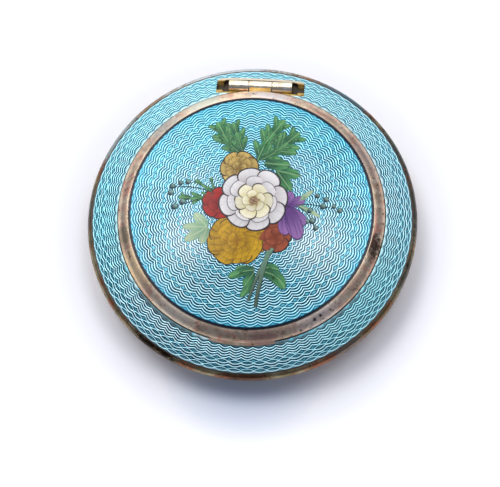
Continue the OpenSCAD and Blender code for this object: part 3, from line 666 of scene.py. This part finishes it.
# %% Velour
velour, tree = new_material("velour_powdered")
place = place_mm(tree)
pile = add(tree, "TexNoise", {"Vector": place, "Scale": 5.0, "Detail": 8.0, "Roughness": 0.75})
powdered = add(tree, "TexNoise", {"Vector": place, "Scale": 0.3, "Detail": 4.0})
soft = add(tree, "Mix", {0: pile.outputs["Fac"], 6: linear("#D9BFA6"), 7: linear("#F8ECDD")},
           data_type="RGBA")
dusty = add(tree, "MapRange", [powdered.outputs["Fac"], 0.5, 0.7, 0.0, 0.7])
soft = add(tree, "Mix", {0: dusty, 6: soft, 7: linear("#E3B596")}, data_type="RGBA")
relief = add(tree, "Bump", {"Strength": 0.8, "Distance": 0.12 * MM, "Height": pile.outputs["Fac"]})
surface(tree, Base_Color=soft, Roughness=0.95, Specular_IOR_Level=0.2, Normal=relief, Sheen_Weight=0.35,
        Sheen_Roughness=0.4)
pad_mesh.materials.append(velour)
print(velour.name, "on", pad.name)

# %% Satin
# Real satin has ten threads or more to the millimetre. Five are drawn, so that the lines can show.
THREADS_PER_MM = 5


def satin(name, light, dark, thread, gathered=False):
    """Satin with its threads across the direction thread. Its soft folds run in from a stitched edge where it
    is gathered, and along the ribbon where it isn't."""
    material, tree = new_material(name)
    place = place_mm(tree)
    if gathered:
        radius = polar_mm(tree, place)[0]
        outward = add(tree, "VectorMath", [place, (1.0, 1.0, 0.0)], operation="MULTIPLY")
        outward = add(tree, "VectorMath", [outward], operation="NORMALIZE")
        run = add(tree, "VectorMath", {0: outward, "Scale": 9.0}, operation="SCALE")
        deep = add(tree, "MapRange", [radius, 4.0, 15.0, 0.0, 0.22])
    else:
        run = add(tree, "VectorMath", [place, (0.12, 1.6, 0.12)], operation="MULTIPLY")
        deep = 0.1
    folds = add(tree, "TexNoise", {"Vector": run, "Scale": 1.0, "Detail": 2.0})
    folds = add(tree, "Math", [folds, deep], operation="MULTIPLY")
    draped = add(tree, "Bump", {"Strength": 0.9, "Distance": 1.0 * MM, "Height": folds})
    along = add(tree, "VectorMath", [place, thread], operation="DOT_PRODUCT").outputs["Value"]
    ribs = add(tree, "Math", [along, 2 * math.pi * THREADS_PER_MM], operation="MULTIPLY")
    ribs = add(tree, "Math", [ribs], operation="SINE")
    slubs = add(tree, "TexNoise", {"Vector": place, "Scale": 0.8, "Detail": 5.0})
    colour = add(tree, "Mix", {0: slubs.outputs["Fac"], 6: linear(dark), 7: linear(light)}, data_type="RGBA")
    relief = add(tree, "Bump", {"Strength": 0.25, "Distance": 0.02 * MM, "Height": ribs, "Normal": draped})
    surface(tree, Base_Color=colour, Metallic=0.25, Roughness=0.36, Specular_IOR_Level=0.8, Normal=relief,
            Anisotropic=0.5, Sheen_Weight=0.1)
    return material


cover.data.materials.append(satin("satin_rose", "#F2BEBA", "#D28E92", (1.0, 0.0, 0.0), gathered=True))
ribbon.data.materials.append(satin("satin_ribbon", "#DE8E98", "#B2606E", (0.0, 1.0, 0.0)))
stitches.data.materials.append(satin("silk_thread", "#FBEDE0", "#E6C8BA", (1.0, 1.0, 0.0)))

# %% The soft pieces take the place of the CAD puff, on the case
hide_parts("puff_pad")
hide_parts("puff_cover")
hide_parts("puff_ribbon")
for piece, slot in ((pad, "velour"), (cover, "satin"), (ribbon, "satin"), (stitches, "satin")):
    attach(piece, "case")
print("satin disc", round(2 * cover_r, 1), "mm across, ribbon", round(2 * ribbon_half_len, 1), "mm long")

# %% [markdown]
# The posy is painted on the fired blue ground in opaque enamel colours, a little proud of it, and fired
# again. Each petal and leaf is one pool of colour with a crown, a soft edge and a thin dark outline. So each
# is a small patch of mesh: rings from its middle out to its outline, and a short wall down into the glass.
# A flat picture would be quicker, but it would have no thickness where the lid catches the light.

# %% Curve of the dome that the posy lies on
dome_points = [v.co / MM for v in nodes["lid_enamel"].data.vertices]
dome_top = max(p.z for p in dome_points)
dome_r = max(p.xy.length for p in dome_points)
dome_rise = dome_top - max(p.z for p in dome_points if p.xy.length > dome_r - 0.001)
dome_curve_r = (dome_r ** 2 + dome_rise ** 2) / (2 * dome_rise)
print("dome: top", round(dome_top, 3), "mm, radius of its curve", round(dome_curve_r, 2), "mm")


def dome_z(x, y):
    """Height of the enamel's face over the point (x, y), in millimetres."""
    return dome_top - dome_curve_r + math.sqrt(dome_curve_r ** 2 - x * x - y * y)


# %% Patches of painted enamel
# A patch keeps, for each of its points, where it lies along and across the brush strokes, the patch's own
# tone, and how far it is from the outline. The colours below are worked out from these. All lengths are in
# millimetres, and the seed makes every run paint the same posy.
RINGS = 5
SPOKES = 28
PAINT_BURIED = 0.03
STEM_TAPER = 0.4
chance = random.Random(7)


class Painting:
    """Collects the patches of one painted piece and makes one object of them."""

    def __init__(self):
        self.points, self.faces, self.strokes, self.rims = [], [], [], []

    def point(self, x, y, lift, stroke, rim):
        """Adds a point at a height over the glass and returns its number."""
        self.points.append((x * MM, y * MM, (dome_z(x, y) + lift) * MM))
        self.strokes.append(stroke)
        self.rims.append(rim)
        return len(self.points) - 1

    def patch(self, base, tip, half_width, lift, egg=0.25, scallop=0.0, lobes=3, bend=0.0, crown=0.015,
              tilt=0.0):
        """A pool of colour from base to tip. Egg widens it towards the tip, scallop waves its far edge, and
        tilt raises one side, so that petals in a ring lie over one another all the way round."""
        along = Vector(tip) - Vector(base)
        length = along.length
        along.normalize()
        across = Vector((-along.y, along.x))
        middle = (Vector(base) + Vector(tip)) / 2
        tone = chance.random()
        hub = self.point(*middle, lift + crown, (0.5, 0.0, tone), half_width)
        last = None
        for ring in range(1, RINGS + 1):
            share = ring / RINGS
            now = []
            for spoke in range(SPOKES):
                turn = 2 * math.pi * spoke / SPOKES
                far = max(0.0, math.cos(turn))
                wave = 1 + scallop * far * math.cos(lobes * turn * 2)
                u = math.cos(turn) * wave * share
                v = math.sin(turn) * (1 + egg * math.cos(turn)) * wave * share
                side = v * half_width + bend * (1 - u * u)
                here = middle + along * (u * length / 2) + across * side
                rise = lift + crown * (1 - share ** 2) + tilt * v
                now.append(self.point(here.x, here.y, rise, (0.5 + u / 2, v, tone), (1 - share) * half_width))
            for k in range(SPOKES):
                n = (k + 1) % SPOKES
                if last is None:
                    self.faces.append((hub, now[k], now[n]))
                else:
                    self.faces.append((last[k], now[k], now[n], last[n]))
            last = now
        self.wall(last)

    def strip(self, route, half_width, lift, crown=0.03):
        """A painted stem along a route of points, narrower towards its end."""
        rows = []
        tone = chance.random()
        for i, (x, y) in enumerate(route):
            ahead = Vector(route[min(i + 1, len(route) - 1)]) - Vector(route[max(i - 1, 0)])
            across = Vector((-ahead.y, ahead.x)).normalized()
            u = i / (len(route) - 1)
            wide = half_width * (1 - STEM_TAPER * u)
            rows.append([self.point(x + across.x * v * wide, y + across.y * v * wide,
                                    lift + crown * (1 - v * v), (u, v, tone), (1 - abs(v)) * wide)
                         for v in (-1.0, -0.5, 0.0, 0.5, 1.0)])
        for a, b in zip(rows, rows[1:]):
            self.faces += [(a[k + 1], a[k], b[k], b[k + 1]) for k in range(4)]
        one_side = [row[0] for row in rows]
        other_side = [row[4] for row in rows[-2::-1]]
        self.wall(one_side + rows[-1][1:] + other_side + rows[0][3:0:-1])

    def wall(self, outline):
        """The short wall from an outline down into the glass. It has points of its own, for a crisp edge."""
        pairs = []
        for index in outline:
            x, y, z = (c / MM for c in self.points[index])
            stroke = self.strokes[index]
            pairs.append((self.point(x, y, z - dome_z(x, y), stroke, 0.0),
                          self.point(x, y, -PAINT_BURIED, stroke, 0.0)))
        for (top_a, low_a), (top_b, low_b) in zip(pairs, pairs[1:] + pairs[:1]):
            self.faces.append((top_a, low_a, low_b, top_b))

    def finish(self, name, material):
        """Makes the object, which rides on the lid."""
        piece = new_object(name, self.points, self.faces)
        strokes = piece.data.attributes.new("stroke", "FLOAT_VECTOR", "POINT")
        strokes.data.foreach_set("vector", [c for stroke in self.strokes for c in stroke])
        piece.data.attributes.new("rim", "FLOAT", "POINT").data.foreach_set("value", self.rims)
        piece.data.materials.append(material)
        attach(piece, "lid")


def around(centre, radius, degrees, squash=1.0):
    """The point at a radius and an angle round a centre. Squash flattens the circle along Y."""
    turn = math.radians(degrees)
    return centre[0] + radius * math.cos(turn), centre[1] + radius * squash * math.sin(turn)


# %% [markdown]
# One recipe paints flowers, leaves, stems and buds. The colour runs from a patch's base to its tip, fine
# brush strokes run along it, each patch is a touch lighter or darker than the next, and the outline is a
# thin dark line. Opaque enamel is glass clouded with tin oxide, so it lets nothing through, and in a layer
# this thin it has only a low shine.

# %% Painted enamel colours
# Strokes are long along a patch, narrow across it, and differ from one patch to the next.
BRISTLE = (1.5, 5.0, 40.0)


def painted_enamel(name, base, tip, stroke_colour, outline, stroke_share=0.5, outline_mm=0.11, vein=None):
    """Opaque painted enamel. Stroke_share says how strongly the brush strokes show, vein colours a midrib."""
    material, tree = new_material(name)
    stroke = add(tree, "Attribute", attribute_name="stroke").outputs["Vector"]
    rim = add(tree, "Attribute", attribute_name="rim").outputs["Fac"]
    part = add(tree, "SeparateXYZ", [stroke])
    u, v, tone = (part.outputs[axis] for axis in "XYZ")
    run = add(tree, "MapRange", [u, 0.15, 0.9, 0.0, 1.0], interpolation_type="SMOOTHSTEP")
    colour = add(tree, "Mix", {0: run, 6: linear(base), 7: linear(tip)}, data_type="RGBA")
    bristle = add(tree, "VectorMath", [stroke, BRISTLE], operation="MULTIPLY")
    streak = add(tree, "TexNoise", {"Vector": bristle, "Scale": 1.0, "Detail": 3.0, "Distortion": 0.6})
    streaky = add(tree, "MapRange", [streak.outputs["Fac"], 0.48, 0.66, 0.0, stroke_share])
    colour = add(tree, "Mix", {0: streaky, 6: colour, 7: linear(stroke_colour)}, data_type="RGBA")
    if vein:
        from_rib = add(tree, "Math", [v], operation="ABSOLUTE")
        on_vein = add(tree, "MapRange", [from_rib, 0.03, 0.16, 0.6, 0.0])
        colour = add(tree, "Mix", {0: on_vein, 6: colour, 7: linear(vein)}, data_type="RGBA")
    brightness = add(tree, "MapRange", [tone, 0.0, 1.0, 0.86, 1.08])
    colour = add(tree, "HueSaturation", {"Color": colour, "Value": brightness})
    at_rim = add(tree, "MapRange", [rim, 0.35 * outline_mm, outline_mm, 1.0, 0.0])
    colour = add(tree, "Mix", {0: at_rim, 6: colour, 7: linear(outline)}, data_type="RGBA")
    relief = add(tree, "Bump", {"Strength": 0.4, "Distance": 0.02 * MM, "Height": streak.outputs["Fac"]})
    surface(tree, Base_Color=colour, Roughness=0.45, Normal=relief, Specular_IOR_Level=0.2,
            Coat_Weight=0.12, Coat_Roughness=0.08)
    return material


white_paint = painted_enamel("painted_enamel_white", "#B4ACA8", "#F1ECE8", "#CFC6C4", "#4E3E4C", 0.4, 0.14)
cream_paint = painted_enamel("painted_enamel_cream", "#D8CA84", "#F8F0D2", "#DCCD94", "#8A765C", 0.4, 0.11)
heart_paint = painted_enamel("painted_enamel_tan", "#8A6848", "#C2A27C", "#6A4C34", "#4A3424", 0.6, 0.07)
ochre_paint = painted_enamel("painted_enamel_ochre", "#8C6C2C", "#D0B060", "#6E4A18", "#5E4418", 0.8, 0.08)
shade_paint = painted_enamel("painted_enamel_outline", "#1E1A1A", "#2A2422", "#141212", "#141212", 0.3, 0.02)
gold_paint = painted_enamel("painted_enamel_gold", "#9E6A00", "#CE9E0C", "#8A620A", "#7A5A10", 0.8, 0.06)
red_paint = painted_enamel("painted_enamel_red", "#800A0A", "#B21E18", "#8A100E", "#5A0E0E", 0.6, 0.08)
rust_paint = painted_enamel("painted_enamel_rust", "#7C3218", "#A44E2E", "#7A3018", "#4A2012", 0.6, 0.09)
violet_paint = painted_enamel("painted_enamel_violet", "#6A3E86", "#A070B0", "#40206E", "#3A1E56", 0.6, 0.09)
green_paint = painted_enamel("painted_enamel_green", "#22683E", "#56A05E", "#104638", "#1C5248", 0.9, 0.06,
                             vein="#98C080")
pale_paint = painted_enamel("painted_enamel_pale_green", "#8CB48C", "#BCD2A8", "#76A08A", "#6C9A8C", 0.5,
                            0.06, vein="#D6DEAE")
stem_paint = painted_enamel("painted_enamel_stem", "#6C987C", "#4C6854", "#2C4834", "#0C1C18", 0.6, 0.11)
bud_paint = painted_enamel("painted_enamel_buds", "#1C3C46", "#8CB4A4", "#1C424A", "#0C2028", 0.5, 0.13)

# %% [markdown]
# The foliage is painted first, so that the flowers lie over it. A cut leaf is a midrib with pairs of
# leaflets, each a patch of its own, and the small lower leaves are one patch each. Where leaves cross, the
# later one is laid a little higher, as thicker paint would be. Stems are strips along a curve, and buds are
# round dabs.

# %% Leaves
# The pairs of leaflets are spread over a share of the midrib, and are longest at one place on it.
RIB_STEPS = 8
PAIRS_FROM, PAIRS_SPAN = 0.12, 0.62
LONGEST_AT = 0.35


def leaf(painting, root, tip, half_width, lift, pairs=3, spread=38, bow=0.0):
    """A lobed leaf: pairs of leaflets along a midrib that bows to one side, and one leaflet at the tip."""
    root, tip = Vector(root), Vector(tip)
    run = tip - root
    across = Vector((-run.y, run.x)).normalized()
    shares = [i / RIB_STEPS for i in range(RIB_STEPS + 1)]
    rib = [root + run * t + across * bow * 4 * t * (1 - t) for t in shares]
    for pair in range(pairs):
        t = PAIRS_FROM + PAIRS_SPAN * pair / max(1, pairs - 1)
        step = round(t * RIB_STEPS)
        start = rib[step]
        ahead = (rib[min(RIB_STEPS, step + 1)] - rib[max(0, step - 1)]).normalized()
        reach = half_width * (1.25 - 0.6 * abs(t - LONGEST_AT)) * chance.uniform(0.88, 1.12)
        for side in (-1, 1):
            turn = Matrix.Rotation(side * math.radians(spread + chance.uniform(-5, 5)), 2)
            end = start + turn @ ahead * reach
            painting.patch(start - ahead * 0.2, end, reach * 0.2, lift, egg=-0.05, bend=-side * 0.12,
                           crown=0.02)
    painting.patch(rib[5], rib[8], half_width * 0.34, lift + 0.004, egg=-0.15, crown=0.02)
    painting.patch(rib[0], rib[6], half_width * 0.26, lift + 0.004, egg=0.1, bend=bow, crown=0.02)


leaves = Painting()
leaf(leaves, (-1.9, 8.8), (-6.0, 14.0), 2.4, 0.004, pairs=4, bow=0.4)
leaf(leaves, (-1.7, 9.0), (-3.6, 14.0), 1.9, 0.010, pairs=3)
leaf(leaves, (0.5, 7.6), (4.2, 14.9), 2.5, 0.004, pairs=4, bow=0.3)
leaf(leaves, (0.9, 7.9), (6.6, 12.9), 2.4, 0.010, pairs=4, bow=-0.3)
leaves.patch((3.4, 6.4), (7.1, 5.7), 0.95, 0.008, egg=-0.1, scallop=0.07, lobes=4)
leaves.patch((3.6, 6.2), (5.9, 3.2), 0.9, 0.012, egg=-0.1, scallop=0.07, lobes=4)
leaves.patch((1.6, 7.5), (5.5, 7.3), 1.0, 0.018, egg=-0.1, scallop=0.06, lobes=5)
leaf(leaves, (-5.6, 2.2), (-11.0, 1.5), 1.3, 0.004, pairs=3, spread=34, bow=0.4)
leaf(leaves, (-5.8, 2.4), (-8.6, 4.3), 0.9, 0.008, pairs=2, spread=28)
leaf(leaves, (-5.5, 2.3), (-6.3, 4.8), 0.7, 0.006, pairs=2, spread=24)
LOWER_LEAVES = (((1.2, -9.1), (-1.6, -9.3), 0.55, 0.1), ((1.3, -9.4), (-2.6, -10.7), 0.7, -0.2),
                ((1.0, -10.2), (-0.6, -13.6), 0.6, 0.3), ((1.2, -9.8), (-0.2, -12.0), 0.7, 0.0),
                ((2.1, -9.2), (4.9, -9.3), 0.7, 0.3), ((2.0, -9.6), (5.9, -12.0), 0.95, 0.7))
for number, (base, tip, wide, bend) in enumerate(LOWER_LEAVES):
    leaves.patch(base, tip, wide, 0.010 + 0.012 * number, egg=0.1, scallop=0.05, lobes=5, bend=bend)
leaves.finish("posy_leaves", green_paint)

pale_leaves = Painting()
for tip, wide in (((-9.5, -5.4), 0.8), ((-7.0, -5.8), 0.75), ((-8.4, -1.0), 0.8), ((-10.0, -3.2), 0.7)):
    pale_leaves.patch((-6.2, -3.1), tip, wide, 0.006, egg=-0.1, crown=0.02)
for tip, wide in (((9.2, 3.5), 0.42), ((10.5, -0.7), 0.4), ((8.4, 2.8), 0.3)):
    pale_leaves.patch((6.8, 1.0), tip, wide, 0.006, egg=0.0, bend=0.15, crown=0.02)
pale_leaves.finish("posy_pale_leaves", pale_paint)

# %% Stems and buds
def curve_points(start, bow, end, steps=10):
    """Points on a curve from start to end that is drawn towards bow."""
    a, b, c = Vector(start), Vector(bow), Vector(end)
    shares = [i / steps for i in range(steps + 1)]
    return [tuple(a * (1 - t) ** 2 + b * 2 * t * (1 - t) + c * t * t) for t in shares]


stems = Painting()
STEMS = (((3.7, -6.0), (1.9, -9.0), (0.6, -14.1), 0.34, 0.085),
         ((3.2, -6.4), (2.2, -9.5), (1.7, -15.0), 0.42, 0.095),
         ((6.6, 1.0), (9.0, 1.4), (11.8, 0.9), 0.09, 0.008),
         ((7.0, 0.8), (8.8, 0.0), (9.7, -2.2), 0.09, 0.008),
         ((-5.6, 2.2), (-8.5, 3.6), (-11.8, 3.0), 0.09, 0.008),
         ((-5.6, 2.1), (-8.0, 1.2), (-11.2, 0.0), 0.09, 0.006))
for start, bow, end, half_width, lift in STEMS:
    stems.strip(curve_points(start, bow, end), half_width, lift)
stems.finish("posy_stems", stem_paint)

buds = Painting()
BUDS = ((9.9, 2.7), (11.2, 2.2), (10.8, 1.1), (12.4, 1.2), (13.3, 0.6), (8.9, 0.3), (8.5, -1.4), (9.3, -1.3),
        (9.9, -2.4), (-10.7, 3.8), (-9.6, 4.0), (-11.9, 3.2), (-12.1, 2.2), (-10.2, 0.8), (-11.3, 0.0))
for x, y in BUDS:
    size = chance.uniform(0.36, 0.48)
    buds.patch((x - size * 0.8, y - size), (x + size * 0.5, y + size * 0.8), size, 0.014, egg=0.1, crown=0.04)
buds.finish("posy_buds", bud_paint)

# %% [markdown]
# A rose-like flower is a few rings of petals round one middle. Each ring is smaller than the one outside it,
# lies over it and is turned against it, so that a petal covers each gap. The flowers at the back are painted
# before the white one, which lies over them all. The violet has two small petals and three large ones, so
# its petals are listed one by one.

# %% Flowers behind the white one
OUTLINED_FROM = 2.4
OUTLINE_WIDER = 0.1
OUTLINE_LONGER = 0.13
OUTLINE_LOWER = 0.008
outlines = Painting()


def bloom(painting, centre, rings, squash=1.0, lift=0.01, step=0.03, tilt=0.015, **shape):
    """Rings of petals, from the outermost inwards: each ring is (petals, tip, base, half width, first angle).
    A dark patch a little larger than each of the outermost petals makes the flower's outline."""
    for ring, (count, tip, base, half_width, first) in enumerate(rings):
        for k in range(count):
            degrees = first + 360 * k / count + chance.uniform(-4, 4)
            reach = tip * chance.uniform(0.95, 1.03)
            inner_end = around(centre, base, degrees, squash)
            if ring == 0 and tip > OUTLINED_FROM:
                outlines.patch(inner_end, around(centre, reach + OUTLINE_LONGER, degrees, squash),
                               half_width + OUTLINE_WIDER, lift - OUTLINE_LOWER, tilt=tilt, **shape)
            painting.patch(inner_end, around(centre, reach, degrees, squash), half_width, lift, tilt=tilt,
                           **shape)
        lift += step


ochre = Painting()
bloom(ochre, (-2.1, 6.4), ((7, 2.9, 0.7, 1.3, 20), (5, 2.1, 0.2, 1.05, 50), (3, 1.2, -0.2, 0.7, 10)),
      lift=0.02)
ochre.finish("posy_flower_ochre", ochre_paint)

red = Painting()
bloom(red, (-4.8, 0.7), ((5, 2.5, 0.1, 1.35, 75), (4, 1.6, -0.2, 0.95, 110)), lift=0.02)
red.finish("posy_flower_red", red_paint)

rust = Painting()
bloom(rust, (3.8, -4.1), ((5, 2.5, 0.1, 1.35, 15), (4, 1.5, -0.3, 0.9, 60)), lift=0.02)
rust.finish("posy_flower_rust", rust_paint)

violet = Painting()
VIOLET_PETALS = (((5.4, 0.8), (8.0, 2.1), 0.8), ((5.0, 0.7), (6.0, 3.1), 0.8), ((5.2, 0.6), (8.4, -2.0), 1.0),
                 ((5.0, 0.2), (5.4, -3.9), 1.0), ((5.6, 0.6), (7.5, -4.4), 1.2))
for number, (base, tip, wide) in enumerate(VIOLET_PETALS):
    violet.patch(base, tip, wide, 0.012 + 0.016 * number, egg=0.2)
violet.finish("posy_flower_violet", violet_paint)

gold = Painting()
bloom(gold, (-1.7, -5.0), ((8, 4.4, 1.0, 2.1, 5), (7, 3.5, 0.6, 1.75, 25), (5, 2.6, 0.2, 1.5, 0),
                           (4, 1.5, -0.3, 1.0, 40)), squash=0.84, lift=0.02, step=0.025)
gold.finish("posy_flower_gold", gold_paint)

# %% The white flower in front
white = Painting()
bloom(white, (0.3, 1.5), ((8, 5.1, 1.6, 1.75, 12), (7, 3.85, 1.0, 1.4, 38)), lift=0.10, egg=0.3, tilt=0.02)
white.finish("posy_flower_white", white_paint)
cream = Painting()
bloom(cream, (0.45, 1.25), ((6, 2.95, 0.4, 1.25, 5), (5, 1.8, 0.1, 0.85, 30)), lift=0.15, egg=0.3, step=0.02)
cream.finish("posy_flower_cream", cream_paint)
outlines.finish("posy_outlines", shade_paint)
heart = Painting()
bloom(heart, (0.45, 1.25), ((6, 0.95, 0.1, 0.34, 0), (4, 0.5, 0.0, 0.26, 20)), lift=0.18, step=0.01,
      tilt=0.005, crown=0.01)
heart.finish("posy_flower_heart", heart_paint)

# %% [markdown]
# A product photograph of a small shiny thing is taken on white paper in a white tent. Four soft lamps stand
# behind the tent's wall: one high on each side, one high behind and one low behind. Round cuts catch light
# in a bow-tie that points at the lamps, so the two at the sides light the enamel left and right of the posy,
# while the middle of the dome looks up between them and keeps its colours clear. The room behind the camera
# is dim, and darkens the metal at the front. Painted highlights in the enamel add to the light beside the
# posy, and painted shade adds to the dark at the front.

# %% The floor
# The paper glows a little where it is seen, directly or in a reflection, so it stays white away from the
# compact and keeps a soft shadow under it. Matt surfaces get no light from the glow. Close under the front
# edge the paper is a little bluer: a painted bluish shadow.
FLOOR_HALF = 1.5
GLOW_FROM, GLOW_TO, GLOW = 26 * MM, 40 * MM, 0.34
PAINTED_SHADOW_AT, PAINTED_SHADOW_FROM, PAINTED_SHADOW_TO = (0.0, -21 * MM, 0.0), 4 * MM, 13 * MM
corners = [(x * FLOOR_HALF, y * FLOOR_HALF, 0) for x, y in ((-1, -1), (1, -1), (1, 1), (-1, 1))]
floor = new_object("floor", corners, [(0, 1, 2, 3)])
paper, tree = new_material("white_paper")
here = add(tree, "TexCoord").outputs["Object"]
seen = add(tree, "LightPath")
lift = add(tree, "Math", [seen.outputs["Is Camera Ray"], seen.outputs["Is Glossy Ray"]], operation="MAXIMUM")
lift = add(tree, "Math", [lift, seen.outputs["Is Transmission Ray"]], operation="MAXIMUM")
from_compact = add(tree, "VectorMath", [here], operation="LENGTH").outputs["Value"]
away = add(tree, "MapRange", [from_compact, GLOW_FROM, GLOW_TO, 0.0, GLOW], interpolation_type="SMOOTHSTEP")
strength = add(tree, "Math", [lift, away], operation="MULTIPLY")
glow = add(tree, "Emission", {"Color": linear("#FFFFFF"), "Strength": strength})
# A painted bluish shadow, full within 4 mm of a point under the front edge and gone at 13 mm.
from_front = add(tree, "VectorMath", [here, PAINTED_SHADOW_AT], operation="DISTANCE").outputs["Value"]
out_of_painted_shadow = add(tree, "MapRange", [from_front, PAINTED_SHADOW_FROM, PAINTED_SHADOW_TO, 0.0, 1.0])
tone = add(tree, "Mix", {0: out_of_painted_shadow, 6: linear("#CCD8EC"), 7: linear("#FCFCFF")}, data_type="RGBA")
matte = add(tree, "BsdfDiffuse", {"Color": tone})
add(tree, "OutputMaterial", {"Surface": add(tree, "AddShader", [matte, glow])})
floor.data.materials.append(paper)

# %% The surroundings
# Each lamp is (direction, angle from it at which the lamp ends, angle up to which it is full, strength),
# with both angles in degrees.
LAMPS = (((-0.34, 0.32, 0.885), 17, 7, 6.3), ((0.28, 0.28, 0.918), 16, 6, 5.0),
         ((-0.10, 0.66, 0.74), 26, 6, 1.7), ((-0.30, 0.93, 0.17), 38, 8, 1.2))
ROOM_BEHIND, ROOM_FRONT = 0.52, 0.28
world = bpy.data.worlds.new("white_tent")
bpy.context.scene.world = world
world.use_nodes = True
tree = world.node_tree
tree.nodes.clear()
toward = add(tree, "TexCoord").outputs["Generated"]
toward = add(tree, "VectorMath", [toward], operation="NORMALIZE")
total = None
for way, edge, full, strength in LAMPS:
    facing = add(tree, "VectorMath", [toward, Vector(way).normalized()], operation="DOT_PRODUCT")
    edge_cosine, full_cosine = math.cos(math.radians(edge)), math.cos(math.radians(full))
    lamp = add(tree, "MapRange", [facing.outputs["Value"], edge_cosine, full_cosine, 0.0, strength],
               interpolation_type="SMOOTHSTEP")
    total = lamp if total is None else add(tree, "Math", [total, lamp], operation="ADD")
lamps = add(tree, "Background", {"Color": linear("#FFFDFA"), "Strength": total})
facing = add(tree, "VectorMath", [toward, (0.0, -1.0, 0.0)], operation="DOT_PRODUCT").outputs["Value"]
dim_front = add(tree, "MapRange", [facing, 0.0, 0.8, ROOM_BEHIND, ROOM_FRONT])
room = add(tree, "Background", {"Color": linear("#C4D0EC"), "Strength": dim_front})
add(tree, "OutputWorld", {"Surface": add(tree, "AddShader", [lamps, room])})
print("lamps at full strength:", [strength for way, edge, full, strength in LAMPS])

# %% [markdown]
# The photograph looks down at 71 degrees, from a little to the right of the front, with the camera rolled
# by 8 degrees. Its place and lens were fitted to the circles of the rim, the shoulder and the lid, with the
# rim taken as 50 mm across. View transform Standard shows colours as written.

# %% The camera
AZIMUTH, ELEVATION, ROLL = math.radians(11.57), math.radians(71.08), math.radians(-8.13)
DISTANCE = 260 * MM
LENS = 124.5
AIM = Vector((0.02, -4.03, 6.0)) * MM
back = Vector((math.sin(AZIMUTH) * math.cos(ELEVATION), -math.cos(AZIMUTH) * math.cos(ELEVATION),
               math.sin(ELEVATION)))
level_right = Vector((0, 0, 1)).cross(back).normalized()
level_up = back.cross(level_right)
right = math.cos(ROLL) * level_right + math.sin(ROLL) * level_up
up = back.cross(right)
camera_data = bpy.data.cameras.new("camera")
camera_data.sensor_width = 36
camera_data.lens = LENS
camera_data.clip_start = 10 * MM
camera_data.clip_end = 10
camera = bpy.data.objects.new("camera", camera_data)
turned = Matrix((right, up, back)).transposed().to_4x4()
camera.matrix_world = Matrix.Translation(AIM + back * DISTANCE) @ turned
bpy.context.scene.collection.objects.link(camera)
bpy.context.scene.camera = camera
bpy.context.scene.view_settings.view_transform = "Standard"
print("camera at", [round(c / MM, 1) for c in camera.location], "mm")
